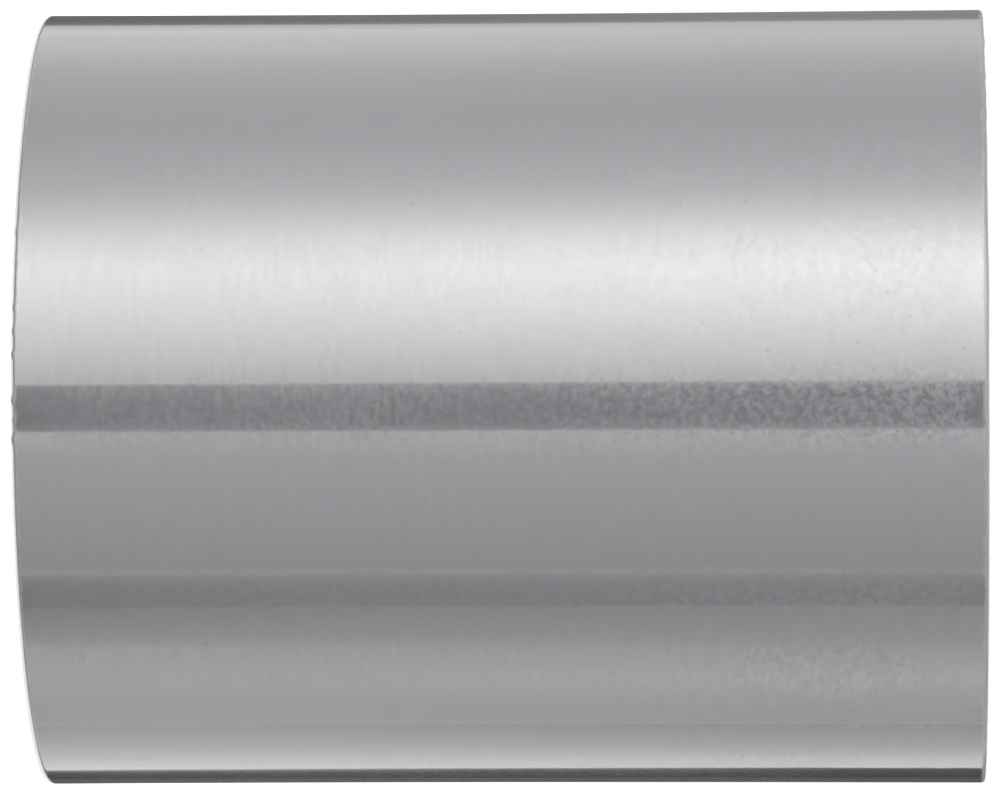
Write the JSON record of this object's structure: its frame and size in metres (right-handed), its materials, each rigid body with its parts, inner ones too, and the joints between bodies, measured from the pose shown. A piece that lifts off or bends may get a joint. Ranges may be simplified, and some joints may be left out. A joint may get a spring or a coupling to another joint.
{
  "type": "pipe coupling",
  "caption": "Plain cylindrical pipe coupling with a solvent-weld socket in each end and a central stop ring, which joins rigid plastic pipes in line.",
  "frame": {"origin": "centre of the lower end face, which the coupling stands on", "axes": "+Z along the waterway, up through the upper socket; both ends are alike"},
  "size_m": [0.0594, 0.0594, 0.0722],
  "materials": {
    "grey_plastic": "grey moulded plastic, glossy with a fine mottle"
  },
  "bodies": {
    "root": {"coupling_body": "grey_plastic"}
  },
  "joints": []
}
